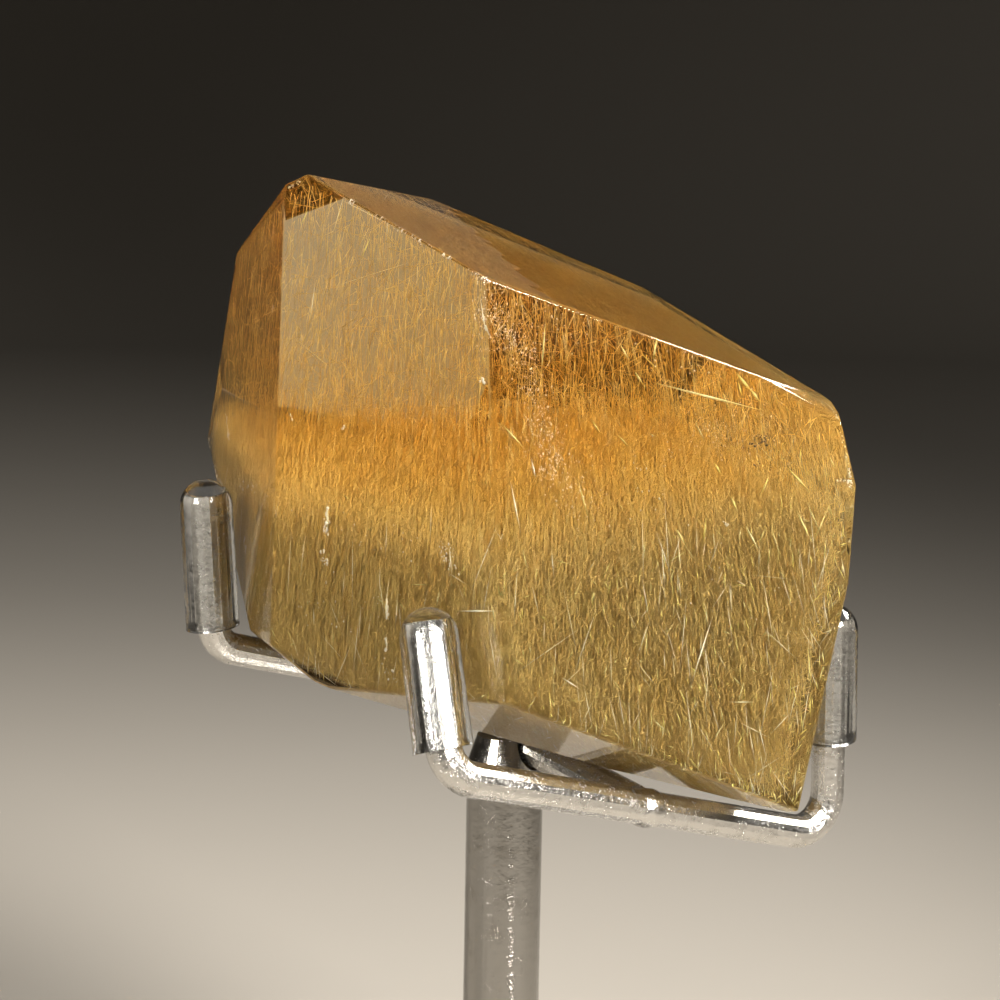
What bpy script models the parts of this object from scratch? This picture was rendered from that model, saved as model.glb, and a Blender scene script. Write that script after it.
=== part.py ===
"""Golden rutilated quartz freeform, resting in a four-prong wire cradle on a post.

Blender 4.5, metres, +Z up. The origin is the middle of the base's underside, the post runs
up the Z axis, and the stone's front ridge looks towards -Y.
"""

from dataclasses import dataclass
from math import cos, pi, radians, sin, tan

import bmesh
import bpy
from mathutils import Matrix, Vector

MM = 0.001
GAP = 0.3 * MM

# Stone: a block ground down to polished facets around this middle.
STONE_MIDDLE = Vector((1.0, 0.0, 76.0)) * MM
BLOCK_SIDE = 140.0 * MM
EDGE_SOFTENING = 0.22 * MM

# Cradle: two bent wires and a cross bar, all in one leaning plane.
CRADLE_MIDDLE = Vector((0.9, 0.9, 52.6)) * MM
CRADLE_TURN = 35.5
CRADLE_LEAN_RIGHT = 15.3
CRADLE_LEAN_BACK = 4.4
BAR_LENGTH = 43.0 * MM
BAR_SPACING = 40.2 * MM
WIRE_RADIUS = 1.5 * MM
BEND_RADIUS = 3.1 * MM
BEND_STEPS = 8

# Clear sleeves on the prong tips.
SLEEVE_RADIUS = 2.5 * MM
SLEEVE_BORE = 1.8 * MM
SLEEVE_TIP_WALL = 1.1 * MM

# Post and base.
POST_RADIUS = 3.5 * MM
POST_TOP_RADIUS = 2.6 * MM
POST_TOP_TAPER = 2.6 * MM
POST_TOP = 53.3 * MM
POST_SOCKET = 4.0 * MM
BASE_RADIUS = 29.0 * MM
BASE_HEIGHT = 5.0 * MM
BASE_EDGE = 1.2 * MM
BOSS_RADIUS = 6.5 * MM
BOSS_HEIGHT = 8.0 * MM

ROUND_STEPS = 48
SLEEVE_STEPS = 32


@dataclass(frozen=True)
class Facet:
    """One ground face: where it looks, in degrees, and its distance from the stone's middle, in mm."""

    name: str
    azimuth: float
    elevation: float
    distance: float

    def normal(self):
        around, up = radians(self.azimuth), radians(self.elevation)
        return Vector((cos(up) * cos(around), cos(up) * sin(around), sin(up)))


FACETS = (
    Facet("front right", -66.0, 9.5, 21.1),
    Facet("front left", -132.5, 3.7, 19.3),
    Facet("left", -163.0, 2.3, 22.5),
    Facet("right", 12.5, -6.5, 25.3),
    Facet("right low", 21.0, -17.5, 22.7),
    Facet("top", -14.7, 67.5, 19.2),
    Facet("left shoulder", 130.5, 70.5, 28.6),
    Facet("undercut", -121.7, -62.5, 23.1),
    Facet("seat", -164.4, -74.1, 20.6),
    Facet("heel", -171.0, -79.5, 21.2),
    Facet("low left", -160.5, -48.5, 25.3),
    Facet("left back low", 171.5, -35.0, 27.9),
    Facet("back left", 125.5, 29.5, 34.1),
    Facet("back high", 77.5, 33.0, 20.9),
    Facet("back right", 33.0, 10.5, 18.5),
    Facet("back", 83.0, -10.5, 22.5),
    Facet("back low", 82.0, -44.5, 23.5),
)


@dataclass(frozen=True)
class Prong:
    """An upright wire end: its corner of the cradle, and its sleeve's top and length, in mm."""

    name: str
    along: int
    across: int
    reach: Vector
    sleeve_length: float


FRONT = Prong("front", -1, -1, Vector((-2.0, 4.2, 12.9)), 11.8)
RIGHT = Prong("right", 1, -1, Vector((-0.5, -1.4, 21.6)), 12.5)
LEFT = Prong("left", -1, 1, Vector((-0.7, -1.3, 15.7)), 14.1)
BACK = Prong("back", 1, 1, Vector((-1.1, -6.6, 17.2)), 12.8)


def make_collection(name):
    """Add an empty collection to the scene."""
    collection = bpy.data.collections.new(name)
    bpy.context.scene.collection.children.link(collection)
    return collection


def make_material(name, colour, roughness, metallic=0.0, transmission=0.0, ior=1.5):
    """Make a Principled material from plain values."""
    material = bpy.data.materials.new(name)
    material.use_nodes = True
    shader = material.node_tree.nodes["Principled BSDF"]
    shader.inputs["Base Color"].default_value = (*colour, 1.0)
    shader.inputs["Roughness"].default_value = roughness
    shader.inputs["Metallic"].default_value = metallic
    shader.inputs["Transmission Weight"].default_value = transmission
    shader.inputs["IOR"].default_value = ior
    material.diffuse_color = (*colour, 1.0)
    return material


def add_object(name, data, collection, material):
    """Link a new object with its material."""
    item = bpy.data.objects.new(name, data)
    data.materials.append(material)
    collection.objects.link(item)
    return item


def shade_round(mesh, crease=35.0):
    """Shade a mesh smooth, but keep its real edges sharp."""
    mesh.shade_smooth()
    mesh.set_sharp_from_angle(angle=radians(crease))


def cradle_axes():
    """Return the cradle's unit directions: along its bars, across them and out of its plane."""
    lean_x, lean_y = tan(radians(CRADLE_LEAN_RIGHT)), tan(radians(CRADLE_LEAN_BACK))
    normal = Vector((lean_x, lean_y, 1.0)).normalized()
    turn = radians(CRADLE_TURN)
    drop = lean_x * cos(turn) + lean_y * sin(turn)
    along = Vector((cos(turn), sin(turn), -drop)).normalized()
    return along, normal.cross(along), normal


def corner_of(prong):
    """Return the point where a prong's line meets its bar's line."""
    along, across, _ = cradle_axes()
    side_step = along * (prong.along * BAR_LENGTH / 2)
    return CRADLE_MIDDLE + side_step + across * (prong.across * BAR_SPACING / 2)


def sleeve_top_of(prong):
    """Return the outer top of a prong's sleeve."""
    return corner_of(prong) + prong.reach * MM


def prong_direction(prong):
    """Return the unit direction of a prong, from its bar to its tip."""
    return prong.reach.normalized()


def wire_tip_of(prong):
    """Return the wire's end, just under the sleeve's closed tip."""
    return sleeve_top_of(prong) - prong_direction(prong) * (SLEEVE_TIP_WALL + GAP)


def round_corner(before, corner, after, radius):
    """Return points on the arc that rounds off a corner between two straight runs."""
    to_before = (before - corner).normalized()
    to_after = (after - corner).normalized()
    opening = to_before.angle(to_after)
    setback = radius / tan(opening / 2)
    start = corner + to_before * setback
    centre = corner + (to_before + to_after).normalized() * (radius / sin(opening / 2))
    axis = (start - centre).cross(corner + to_after * setback - centre)
    sweep = pi - opening
    arm = start - centre
    return [centre + Matrix.Rotation(sweep * i / BEND_STEPS, 3, axis) @ arm for i in range(BEND_STEPS + 1)]


def make_wire(name, points, collection, material):
    """Sweep a round wire with flat ends through points, and make it a closed mesh."""
    curve = bpy.data.curves.new(name + "_path", "CURVE")
    curve.dimensions = "3D"
    curve.bevel_depth = WIRE_RADIUS
    curve.bevel_resolution = 6
    curve.use_fill_caps = True
    spline = curve.splines.new("POLY")
    spline.points.add(len(points) - 1)
    for knot, point in zip(spline.points, points):
        knot.co = (*point, 1.0)
    path = bpy.data.objects.new(name + "_path", curve)
    bpy.context.scene.collection.objects.link(path)
    evaluated = path.evaluated_get(bpy.context.evaluated_depsgraph_get())
    mesh = bpy.data.meshes.new_from_object(evaluated)
    bpy.data.objects.remove(path)
    shape = bmesh.new()
    shape.from_mesh(mesh)
    bmesh.ops.remove_doubles(shape, verts=shape.verts, dist=0.01 * MM)
    bmesh.ops.recalc_face_normals(shape, faces=shape.faces)
    shape.to_mesh(mesh)
    shape.free()
    mesh.name = name
    mesh.materials.clear()
    shade_round(mesh)
    return add_object(name, mesh, collection, material)


def make_bent_wire(name, first, second, collection, material):
    """Make one U of the cradle: prong, bend, bar, bend, prong."""
    tip_a, corner_a = wire_tip_of(first), corner_of(first)
    corner_b, tip_b = corner_of(second), wire_tip_of(second)
    points = [tip_a]
    points += round_corner(tip_a, corner_a, corner_b, BEND_RADIUS)
    points += round_corner(corner_a, corner_b, tip_b, BEND_RADIUS)
    points.append(tip_b)
    return make_wire(name, points, collection, material)


def make_cross_bar(collection, material):
    """Make the straight bar between the middles of the two bent wires."""
    _, across, _ = cradle_axes()
    half = across * (BAR_SPACING / 2 - WIRE_RADIUS - GAP)
    return make_wire("cross_bar", [CRADLE_MIDDLE - half, CRADLE_MIDDLE + half], collection, material)


def make_turned(name, profile, steps, collection, material):
    """Turn a profile of (radius, height) points, outer side first from the top down, about Z."""
    shape = bmesh.new()
    knots = [shape.verts.new((radius, 0.0, height)) for radius, height in profile]
    for knot, following in zip(knots, knots[1:]):
        shape.edges.new((knot, following))
    mesh = bpy.data.meshes.new(name)
    shape.to_mesh(mesh)
    shape.free()
    item = add_object(name, mesh, collection, material)
    screw = item.modifiers.new("turn", "SCREW")
    screw.axis = "Z"
    screw.angle = 2 * pi
    screw.steps = steps
    screw.render_steps = steps
    screw.use_merge_vertices = True
    screw.merge_threshold = 0.01 * MM
    screw.use_smooth_shade = True
    return item


def quarter(centre, radius, start, end, steps):
    """Return (radius, height) points of an arc, its angles in degrees from the radius direction."""
    sweep = [radians(start + (end - start) * i / steps) for i in range(steps + 1)]
    return [(centre[0] + radius * cos(a), centre[1] + radius * sin(a)) for a in sweep]


def make_sleeve(prong, collection, material):
    """Make a prong's sleeve: a tube with a domed closed tip and a square open end."""
    length = prong.sleeve_length * MM
    dome = quarter((0.0, length - SLEEVE_RADIUS), SLEEVE_RADIUS, 90.0, 0.0, 8)
    dome[0] = (0.0, length)
    inner_top = length - SLEEVE_TIP_WALL
    profile = dome + [(SLEEVE_RADIUS, 0.0), (SLEEVE_BORE, 0.0), (SLEEVE_BORE, inner_top), (0.0, inner_top)]
    sleeve = make_turned(prong.name + "_sleeve", profile, SLEEVE_STEPS, collection, material)
    direction = prong_direction(prong)
    sleeve.location = sleeve_top_of(prong) - direction * length
    sleeve.rotation_mode = "QUATERNION"
    sleeve.rotation_quaternion = direction.to_track_quat("Z", "Y")
    return sleeve


def make_post(collection, guides, material):
    """Make the post, tapered at its top and notched there for the cross bar."""
    bottom = BOSS_HEIGHT - POST_SOCKET + GAP
    profile = [
        (0.0, POST_TOP),
        (POST_TOP_RADIUS, POST_TOP),
        (POST_RADIUS, POST_TOP - POST_TOP_TAPER),
        (POST_RADIUS, bottom),
        (0.0, bottom),
    ]
    post = make_turned("post", profile, ROUND_STEPS, collection, material)
    _, across, normal = cradle_axes()
    bpy.ops.mesh.primitive_cylinder_add(vertices=40, radius=WIRE_RADIUS + GAP, depth=6 * POST_RADIUS)
    notch = bpy.context.object
    notch.name = "bar_notch_cutter"
    notch.location = CRADLE_MIDDLE
    notch.rotation_mode = "QUATERNION"
    notch.rotation_quaternion = across.to_track_quat("Z", "Y")
    as_cutter(notch, guides)
    cut_away(post, notch)
    bpy.ops.mesh.primitive_cube_add(size=6 * POST_RADIUS)
    seat = bpy.context.object
    seat.name = "post_top_cutter"
    seat.location = CRADLE_MIDDLE + normal * (3 * POST_RADIUS + WIRE_RADIUS * 0.6)
    seat.rotation_mode = "QUATERNION"
    seat.rotation_quaternion = normal.to_track_quat("Z", "Y")
    as_cutter(seat, guides)
    cut_away(post, seat)
    return post


def as_cutter(item, guides):
    """Move an object to the cutters' collection and hide it from renders."""
    for collection in list(item.users_collection):
        collection.objects.unlink(item)
    guides.objects.link(item)
    item.hide_render = True
    item.display_type = "WIRE"


def cut_away(item, cutter):
    """Subtract a cutter from an object with an exact Boolean."""
    boolean = item.modifiers.new(cutter.name, "BOOLEAN")
    boolean.operation = "DIFFERENCE"
    boolean.solver = "EXACT"
    boolean.object = cutter


def make_base(collection, material):
    """Make the round foot, with a boss whose blind socket holds the post."""
    socket_floor = BOSS_HEIGHT - POST_SOCKET
    socket_radius = POST_RADIUS + GAP
    rim = quarter((BASE_RADIUS - BASE_EDGE, BASE_HEIGHT - BASE_EDGE), BASE_EDGE, 90.0, 0.0, 5)
    fillet = quarter((BOSS_RADIUS + BASE_EDGE, BASE_HEIGHT + BASE_EDGE), BASE_EDGE, 180.0, 270.0, 5)
    profile = [(0.0, socket_floor), (socket_radius, socket_floor), (socket_radius, BOSS_HEIGHT)]
    profile += [(BOSS_RADIUS - BASE_EDGE / 2, BOSS_HEIGHT), (BOSS_RADIUS, BOSS_HEIGHT - BASE_EDGE / 2)]
    profile += fillet + rim + [(BASE_RADIUS, 0.0), (0.0, 0.0)]
    base = make_turned("base", profile, ROUND_STEPS * 2, collection, material)
    return base


def make_stone(collection, material):
    """Grind a block to its facets, one cut for each, and soften the edges."""
    shape = bmesh.new()
    bmesh.ops.create_cube(shape, size=BLOCK_SIDE, matrix=Matrix.Translation(STONE_MIDDLE))
    for facet in FACETS:
        everything = [*shape.verts, *shape.edges, *shape.faces]
        normal = facet.normal()
        point = STONE_MIDDLE + normal * (facet.distance * MM)
        cut = bmesh.ops.bisect_plane(shape, geom=everything, plane_co=point, plane_no=normal, clear_outer=True)
        rim = [item for item in cut["geom_cut"] if isinstance(item, bmesh.types.BMEdge)]
        bmesh.ops.contextual_create(shape, geom=rim)
    bmesh.ops.recalc_face_normals(shape, faces=shape.faces)
    mesh = bpy.data.meshes.new("quartz")
    shape.to_mesh(mesh)
    shape.free()
    stone = add_object("quartz", mesh, collection, material)
    soften = stone.modifiers.new("soft edges", "BEVEL")
    soften.width = EDGE_SOFTENING
    soften.segments = 2
    soften.limit_method = "NONE"
    return stone


def clear_scene():
    """Remove whatever the file starts with."""
    for item in list(bpy.data.objects):
        bpy.data.objects.remove(item)


def main():
    """Build the stone and its stand."""
    clear_scene()
    parts = make_collection("rutilated_quartz_freeform")
    guides = make_collection("cutters")
    quartz = make_material("golden_quartz", (0.62, 0.42, 0.16), 0.03, transmission=1.0, ior=1.544)
    steel = make_material("plated_wire", (0.80, 0.79, 0.76), 0.16, metallic=1.0)
    rod = make_material("plated_post", (0.74, 0.72, 0.69), 0.18, metallic=1.0)
    foot = make_material("plated_base", (0.72, 0.71, 0.69), 0.24, metallic=1.0)
    vinyl = make_material("clear_vinyl", (0.88, 0.90, 0.92), 0.10, transmission=0.9, ior=1.53)

    make_stone(parts, quartz)
    make_bent_wire("front_wire", FRONT, RIGHT, parts, steel)
    make_bent_wire("rear_wire", LEFT, BACK, parts, steel)
    make_cross_bar(parts, steel)
    for prong in (FRONT, RIGHT, LEFT, BACK):
        make_sleeve(prong, parts, vinyl)
    make_post(parts, guides, rod)
    make_base(parts, foot)


main()
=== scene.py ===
"""Looks of a golden rutilated quartz freeform, held by four sleeved prongs on a post.

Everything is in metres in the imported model's frame: +Z up, the base's underside at the origin,
the stone's front ridge towards -Y. Places seen in the photograph are given by column and row of
its 1000 x 1000 frame and are set into the stone along the bent line of sight.
"""

import logging
import math
import random
from dataclasses import dataclass
from enum import Enum

import bmesh
import bpy
import numpy as np
from mathutils import Matrix, Vector, geometry


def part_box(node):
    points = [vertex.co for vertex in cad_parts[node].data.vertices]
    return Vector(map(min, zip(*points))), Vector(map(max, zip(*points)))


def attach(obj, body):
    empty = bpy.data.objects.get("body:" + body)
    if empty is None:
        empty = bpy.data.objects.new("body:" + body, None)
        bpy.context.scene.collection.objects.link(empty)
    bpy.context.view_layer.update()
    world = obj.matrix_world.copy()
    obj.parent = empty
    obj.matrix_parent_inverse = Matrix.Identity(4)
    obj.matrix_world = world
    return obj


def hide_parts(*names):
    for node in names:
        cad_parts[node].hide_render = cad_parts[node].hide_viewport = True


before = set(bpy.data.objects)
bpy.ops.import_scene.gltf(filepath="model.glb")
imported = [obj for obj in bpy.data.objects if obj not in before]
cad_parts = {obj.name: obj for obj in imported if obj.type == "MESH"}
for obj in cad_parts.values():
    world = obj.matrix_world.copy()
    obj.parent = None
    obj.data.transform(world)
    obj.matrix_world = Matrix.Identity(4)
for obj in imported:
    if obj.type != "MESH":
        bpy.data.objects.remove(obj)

MM = 0.001
NO_LENGTH = 1e-12
QUARTZ_IOR = 1.544
VINYL_IOR = 1.42
RUTILE_IOR = 2.2
CRUMB_COVER = 0.12 * MM

log = logging.getLogger("quartz")


# Small helpers for the modelling tools
def deselect_everything() -> None:
    """Leave edit mode and clear the selection."""
    if bpy.context.object is not None and bpy.context.object.mode != "OBJECT":
        bpy.ops.object.mode_set(mode="OBJECT")
    bpy.ops.object.select_all(action="DESELECT")


def make_active(item: bpy.types.Object) -> None:
    """Select one object alone and make it the active one."""
    deselect_everything()
    item.select_set(True)
    bpy.context.view_layer.objects.active = item


def settle(item: bpy.types.Object) -> None:
    """Apply an object's place, turn and scale to its mesh."""
    make_active(item)
    bpy.ops.object.transform_apply(location=True, rotation=True, scale=True)


def apply_modifiers(item: bpy.types.Object) -> None:
    """Apply every modifier of an object, in order."""
    make_active(item)
    for modifier in list(item.modifiers):
        bpy.ops.object.modifier_apply(modifier=modifier.name)


def edit_whole() -> None:
    """Enter edit mode on the active object with its whole mesh selected."""
    bpy.ops.object.mode_set(mode="EDIT")
    bpy.ops.mesh.select_all(action="SELECT")


def dress(item: bpy.types.Object, material: bpy.types.Material) -> None:
    """Give every face of an object one material."""
    item.data.materials.clear()
    item.data.materials.append(material)


def shade_round(item: bpy.types.Object, crease: float) -> None:
    """Shade an object smooth, with edges over the crease angle in degrees kept sharp."""
    make_active(item)
    bpy.ops.object.shade_smooth_by_angle(angle=math.radians(crease))


def take_mesh(item: bpy.types.Object) -> tuple[np.ndarray, np.ndarray]:
    """Leave edit mode, read an object's mesh and remove the object.

    Args:
        item: The object that copies will be made of.

    Returns:
        Its corners and its triangles, one row each.
    """
    bpy.ops.object.mode_set(mode="OBJECT")
    corners = np.array([v.co for v in item.data.vertices])
    faces = np.array([p.vertices for p in item.data.polygons])
    bpy.data.objects.remove(item)
    return corners, faces


def finish_piece(item: bpy.types.Object, name: str, stands_for: tuple[str, ...] = ()) -> None:
    """Name a piece, put it on the stand's one body and report it.

    Args:
        item: The finished object.
        name: Its name as a maker would say it.
        stands_for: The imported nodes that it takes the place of.
    """
    item.name = name
    item.data.name = name
    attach(item, "root")
    if stands_for:
        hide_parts(*stands_for)
    log.info("%s: %d faces", name, len(item.data.polygons))


# The photograph's viewpoint
@dataclass(frozen=True)
class Viewpoint:
    """Where the photograph was taken from.

    Args:
        place: The lens's place in mm.
        tilt_down: Its tilt below the horizon in degrees.
        roll: Its roll in degrees.
        lens: Focal length in mm.
        sensor: Sensor width in mm.
        frame_side: The picture's side in pixels.
        clip: Nearest and farthest distance shown, in metres.
    """

    place: tuple[float, float, float] = (-0.91, -222.64, 106.12)
    tilt_down: float = 8.0
    roll: float = 1.04
    lens: float = 90.0
    sensor: float = 36.0
    frame_side: int = 1000
    clip: tuple[float, float] = (0.01, 20.0)

    def eye(self) -> Vector:
        """Return the lens's place in metres."""
        return Vector(self.place) * MM

    def axes(self) -> tuple[Vector, Vector, Vector]:
        """Work out which way the picture lies.

        Returns:
            Its unit directions: right, up and ahead.
        """
        tilt, roll = math.radians(self.tilt_down), math.radians(self.roll)
        level_right = Vector((1.0, 0.0, 0.0))
        level_up = Vector((0.0, math.sin(tilt), math.cos(tilt)))
        right = level_right * math.cos(roll) + level_up * math.sin(roll)
        up = level_up * math.cos(roll) - level_right * math.sin(roll)
        return right, up, up.cross(right)

    def sight(self, column: float, row: float) -> Vector:
        """Find the line of sight through a place in the picture.

        Args:
            column: The picture column in pixels.
            row: The picture row in pixels.

        Returns:
            Its unit direction.
        """
        right, up, ahead = self.axes()
        reach = self.lens / self.sensor * self.frame_side
        half = self.frame_side / 2
        return (ahead * reach + right * (column - half) - up * (row - half)).normalized()

    def add_camera(self) -> None:
        """Add the camera and make it the scene's own."""
        data = bpy.data.cameras.new("photo_camera")
        data.lens = self.lens
        data.sensor_width = self.sensor
        data.clip_start, data.clip_end = self.clip
        camera = bpy.data.objects.new("photo_camera", data)
        bpy.context.scene.collection.objects.link(camera)
        right, up, ahead = self.axes()
        turn = Matrix((right, up, -ahead)).transposed().to_4x4()
        camera.matrix_world = Matrix.Translation(self.eye()) @ turn
        bpy.context.scene.camera = camera


# The stone's facets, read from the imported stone
@dataclass(frozen=True)
class FacetPlane:
    """One flat of the stone: its outward direction and its distance from the frame's origin."""

    normal: Vector
    distance: float


def read_facets(stone: bpy.types.Object, least_width: float = 1.0 * MM,
                alike: float = 0.99995) -> list[FacetPlane]:
    """Gather the stone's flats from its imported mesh.

    Args:
        stone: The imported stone.
        least_width: Flats narrower than this are its softened edges and are left out.
        alike: The least cosine between the directions of two faces of one flat.

    Returns:
        The flats, largest first.
    """
    groups: list[dict] = []
    for polygon in stone.data.polygons:
        corners = [stone.data.vertices[index].co.copy() for index in polygon.vertices]
        for group in groups:
            if group["normal"].dot(polygon.normal) > alike:
                group["area"] += polygon.area
                group["corners"] += corners
                break
        else:
            groups.append({"normal": polygon.normal.copy(), "area": polygon.area, "corners": corners})
    flats = []
    for group in sorted(groups, key=lambda each: -each["area"]):
        spread = np.ptp(np.array(group["corners"]), axis=0)
        if group["area"] / float(np.linalg.norm(spread)) > least_width:
            middle = sum(group["corners"], Vector()) / len(group["corners"])
            flats.append(FacetPlane(group["normal"], group["normal"].dot(middle)))
    return flats


@dataclass(frozen=True)
class StoneSpace:
    """The space inside the stone's flats, with lines of sight bent as they enter it.

    Args:
        facets: The flats.
        view: The picture's viewpoint.
    """

    facets: tuple[FacetPlane, ...]
    view: Viewpoint

    def planes(self) -> tuple[np.ndarray, np.ndarray]:
        """Return the flats' directions and distances as arrays."""
        return np.array([f.normal for f in self.facets]), np.array([f.distance for f in self.facets])

    def depth(self, points: np.ndarray) -> np.ndarray:
        """Return how deep each point lies under its nearest flat, in metres."""
        normals, distances = self.planes()
        return (distances - points @ normals.T).min(axis=1)

    def clip(self, starts: np.ndarray, ends: np.ndarray, margin: float) -> tuple[np.ndarray, np.ndarray]:
        """Cut straight runs back to the inside of the stone.

        Args:
            starts: First ends, one row each.
            ends: Second ends, one row each.
            margin: How far inside the flats the runs stop, in metres.

        Returns:
            The two ends of the runs that are left.
        """
        normals, distances = self.planes()
        room_start = distances - margin - starts @ normals.T
        room_end = distances - margin - ends @ normals.T
        change = room_start - room_end
        share = room_start / np.where(np.abs(change) < NO_LENGTH, NO_LENGTH, change)
        enter = np.where(room_start < 0, share, 0.0).max(axis=1)
        leave = np.where(room_end < 0, share, 1.0).min(axis=1)
        kept = (leave > enter) & ~np.any((room_start < 0) & (room_end < 0), axis=1)
        run = ends - starts
        first = starts + run * enter[:, None]
        last = starts + run * leave[:, None]
        return first[kept], last[kept]

    def flat_facing(self, direction: tuple[float, float, float]) -> FacetPlane:
        """Return the flat that faces most nearly one way."""
        return max(self.facets, key=lambda flat: flat.normal.dot(Vector(direction)))

    def edge_point(self, first: FacetPlane, second: FacetPlane, column: float, row: float) -> Vector:
        """Find the point on the edge between two flats that shows nearest a place in the picture.

        Args:
            first: One flat.
            second: The other flat.
            column: The picture column in pixels.
            row: The picture row in pixels.

        Returns:
            The point in metres.
        """
        way = first.normal.cross(second.normal).normalized()
        distances = Vector((first.distance, second.distance, 0.0))
        start = Matrix((first.normal, second.normal, way)).inverted() @ distances
        eye, sight = self.view.eye(), self.view.sight(column, row)
        return geometry.intersect_line_line(start, start + way, eye, eye + sight)[0]

    def seen_at(self, column: float, row: float, depth: float) -> Vector:
        """Find the point inside the stone that shows at a place in the picture.

        Args:
            column: The picture column in pixels.
            row: The picture row in pixels.
            depth: How far past the surface it lies along the bent line of sight, in mm.

        Returns:
            The point in metres.
        """
        eye, sight = self.view.eye(), self.view.sight(column, row)
        far, front = -1.0, self.facets[0]
        for facet in self.facets:
            slope = facet.normal.dot(sight)
            if slope < 0:
                reach = (facet.distance - facet.normal.dot(eye)) / slope
                if reach > far:
                    far, front = reach, facet
        cosine = -sight.dot(front.normal)
        bend = 1.0 / QUARTZ_IOR
        inner = math.sqrt(1.0 - bend * bend * (1.0 - cosine * cosine))
        inward = sight * bend + front.normal * (bend * cosine - inner)
        return eye + sight * far + inward.normalized() * (depth * MM)


# Material building
class Recipe:
    """A material's node tree, with short ways to add what the finishes share."""

    def __init__(self, name: str) -> None:
        """Start a material with a Principled shader alone.

        Args:
            name: Its name.
        """
        self.material = bpy.data.materials.new(name)
        self.material.use_nodes = True
        self.tree = self.material.node_tree
        self.shader = self.tree.nodes["Principled BSDF"]
        self.output = self.tree.nodes["Material Output"]
        self._grain: bpy.types.NodeSocket | None = None

    def node(self, kind: str, **settings: object) -> bpy.types.Node:
        """Add a node.

        Args:
            kind: Its type.
            settings: Its own settings by name.

        Returns:
            The node.
        """
        made = self.tree.nodes.new(kind)
        for key, value in settings.items():
            setattr(made, key, value)
        return made

    def link(self, source: bpy.types.NodeSocket, target: bpy.types.NodeSocket) -> None:
        """Join two sockets."""
        self.tree.links.new(source, target)

    def set(self, **values: object) -> None:
        """Set the shader's sockets by name, with underscores for spaces."""
        for key, value in values.items():
            self.shader.inputs[key.replace("_", " ")].default_value = value

    def in_mm(self) -> bpy.types.NodeSocket:
        """Add the object's coordinates, once for each material.

        Returns:
            The coordinates in mm.
        """
        if self._grain is None:
            place = self.node("ShaderNodeTexCoord")
            scaled = self.node("ShaderNodeMapping")
            scaled.inputs["Scale"].default_value = (1 / MM, 1 / MM, 1 / MM)
            self.link(place.outputs["Object"], scaled.inputs["Vector"])
            self._grain = scaled.outputs["Vector"]
        return self._grain

    def stretched(self, along: tuple[float, float, float]) -> bpy.types.NodeSocket:
        """Stretch the coordinates.

        Args:
            along: The number that each axis is multiplied by.

        Returns:
            The stretched coordinates in mm.
        """
        scaled = self.node("ShaderNodeMapping")
        scaled.inputs["Scale"].default_value = along
        self.link(self.in_mm(), scaled.inputs["Vector"])
        return scaled.outputs["Vector"]

    def noise(self, per_mm: float, detail: float = 4.0, roughness: float = 0.55,
              place: bpy.types.NodeSocket | None = None) -> bpy.types.NodeSocket:
        """Add a noise pattern.

        Args:
            per_mm: How many features it has to the mm.
            detail: How many finer layers it has.
            roughness: How strong the finer layers are.
            place: The coordinates, the object's own if none are given.

        Returns:
            The pattern.
        """
        made = self.node("ShaderNodeTexNoise")
        made.inputs["Scale"].default_value = per_mm
        made.inputs["Detail"].default_value = detail
        made.inputs["Roughness"].default_value = roughness
        self.link(place or self.in_mm(), made.inputs["Vector"])
        return made.outputs["Fac"]

    def cells(self, per_mm: float) -> bpy.types.NodeSocket:
        """Scatter points through the object.

        Args:
            per_mm: How many there are to the mm.

        Returns:
            The distance to the nearest one.
        """
        made = self.node("ShaderNodeTexVoronoi")
        made.inputs["Scale"].default_value = per_mm
        self.link(self.in_mm(), made.inputs["Vector"])
        return made.outputs["Distance"]

    def spread(self, value: bpy.types.NodeSocket, low: float, high: float,
               start: float = 0.0, end: float = 1.0) -> bpy.types.NodeSocket:
        """Map a pattern to a range of values.

        Args:
            value: The pattern.
            low: What its start turns into.
            high: What its end turns into.
            start: Where the range begins in the pattern.
            end: Where it ends in the pattern.

        Returns:
            The mapped values.
        """
        made = self.node("ShaderNodeMapRange")
        for key, number in (("From Min", start), ("From Max", end), ("To Min", low), ("To Max", high)):
            made.inputs[key].default_value = number
        self.link(value, made.inputs["Value"])
        return made.outputs["Result"]

    def math(self, operation: str, first: bpy.types.NodeSocket,
             second: bpy.types.NodeSocket | float) -> bpy.types.NodeSocket:
        """Combine two values.

        Args:
            operation: How they are combined.
            first: A pattern.
            second: Another pattern or a number.

        Returns:
            The result.
        """
        made = self.node("ShaderNodeMath", operation=operation)
        self.link(first, made.inputs[0])
        if isinstance(second, float):
            made.inputs[1].default_value = second
        else:
            self.link(second, made.inputs[1])
        return made.outputs[0]

    def blend(self, share: bpy.types.NodeSocket, first: tuple[float, float, float],
              second: tuple[float, float, float]) -> bpy.types.NodeSocket:
        """Blend two colours by a pattern.

        Args:
            share: The pattern, from 0 for the first colour to 1 for the second.
            first: The first colour.
            second: The second colour.

        Returns:
            The blended colour.
        """
        made = self.node("ShaderNodeMix", data_type="RGBA")
        sockets = [socket for socket in made.inputs if socket.type == "RGBA"]
        for socket, colour in zip(sockets, (first, second)):
            socket.default_value = (*colour, 1.0)
        self.link(share, made.inputs[0])
        return next(s for s in made.outputs if s.type == "RGBA")

    def attribute(self, name: str) -> bpy.types.NodeSocket:
        """Return a number kept on the mesh."""
        return self.node("ShaderNodeAttribute", attribute_name=name).outputs["Fac"]

    def colour(self, source: bpy.types.NodeSocket) -> None:
        """Colour the surface by a pattern."""
        self.link(source, self.shader.inputs["Base Color"])

    def gloss(self, source: bpy.types.NodeSocket) -> None:
        """Set how rough the surface is by a pattern."""
        self.link(source, self.shader.inputs["Roughness"])

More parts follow.
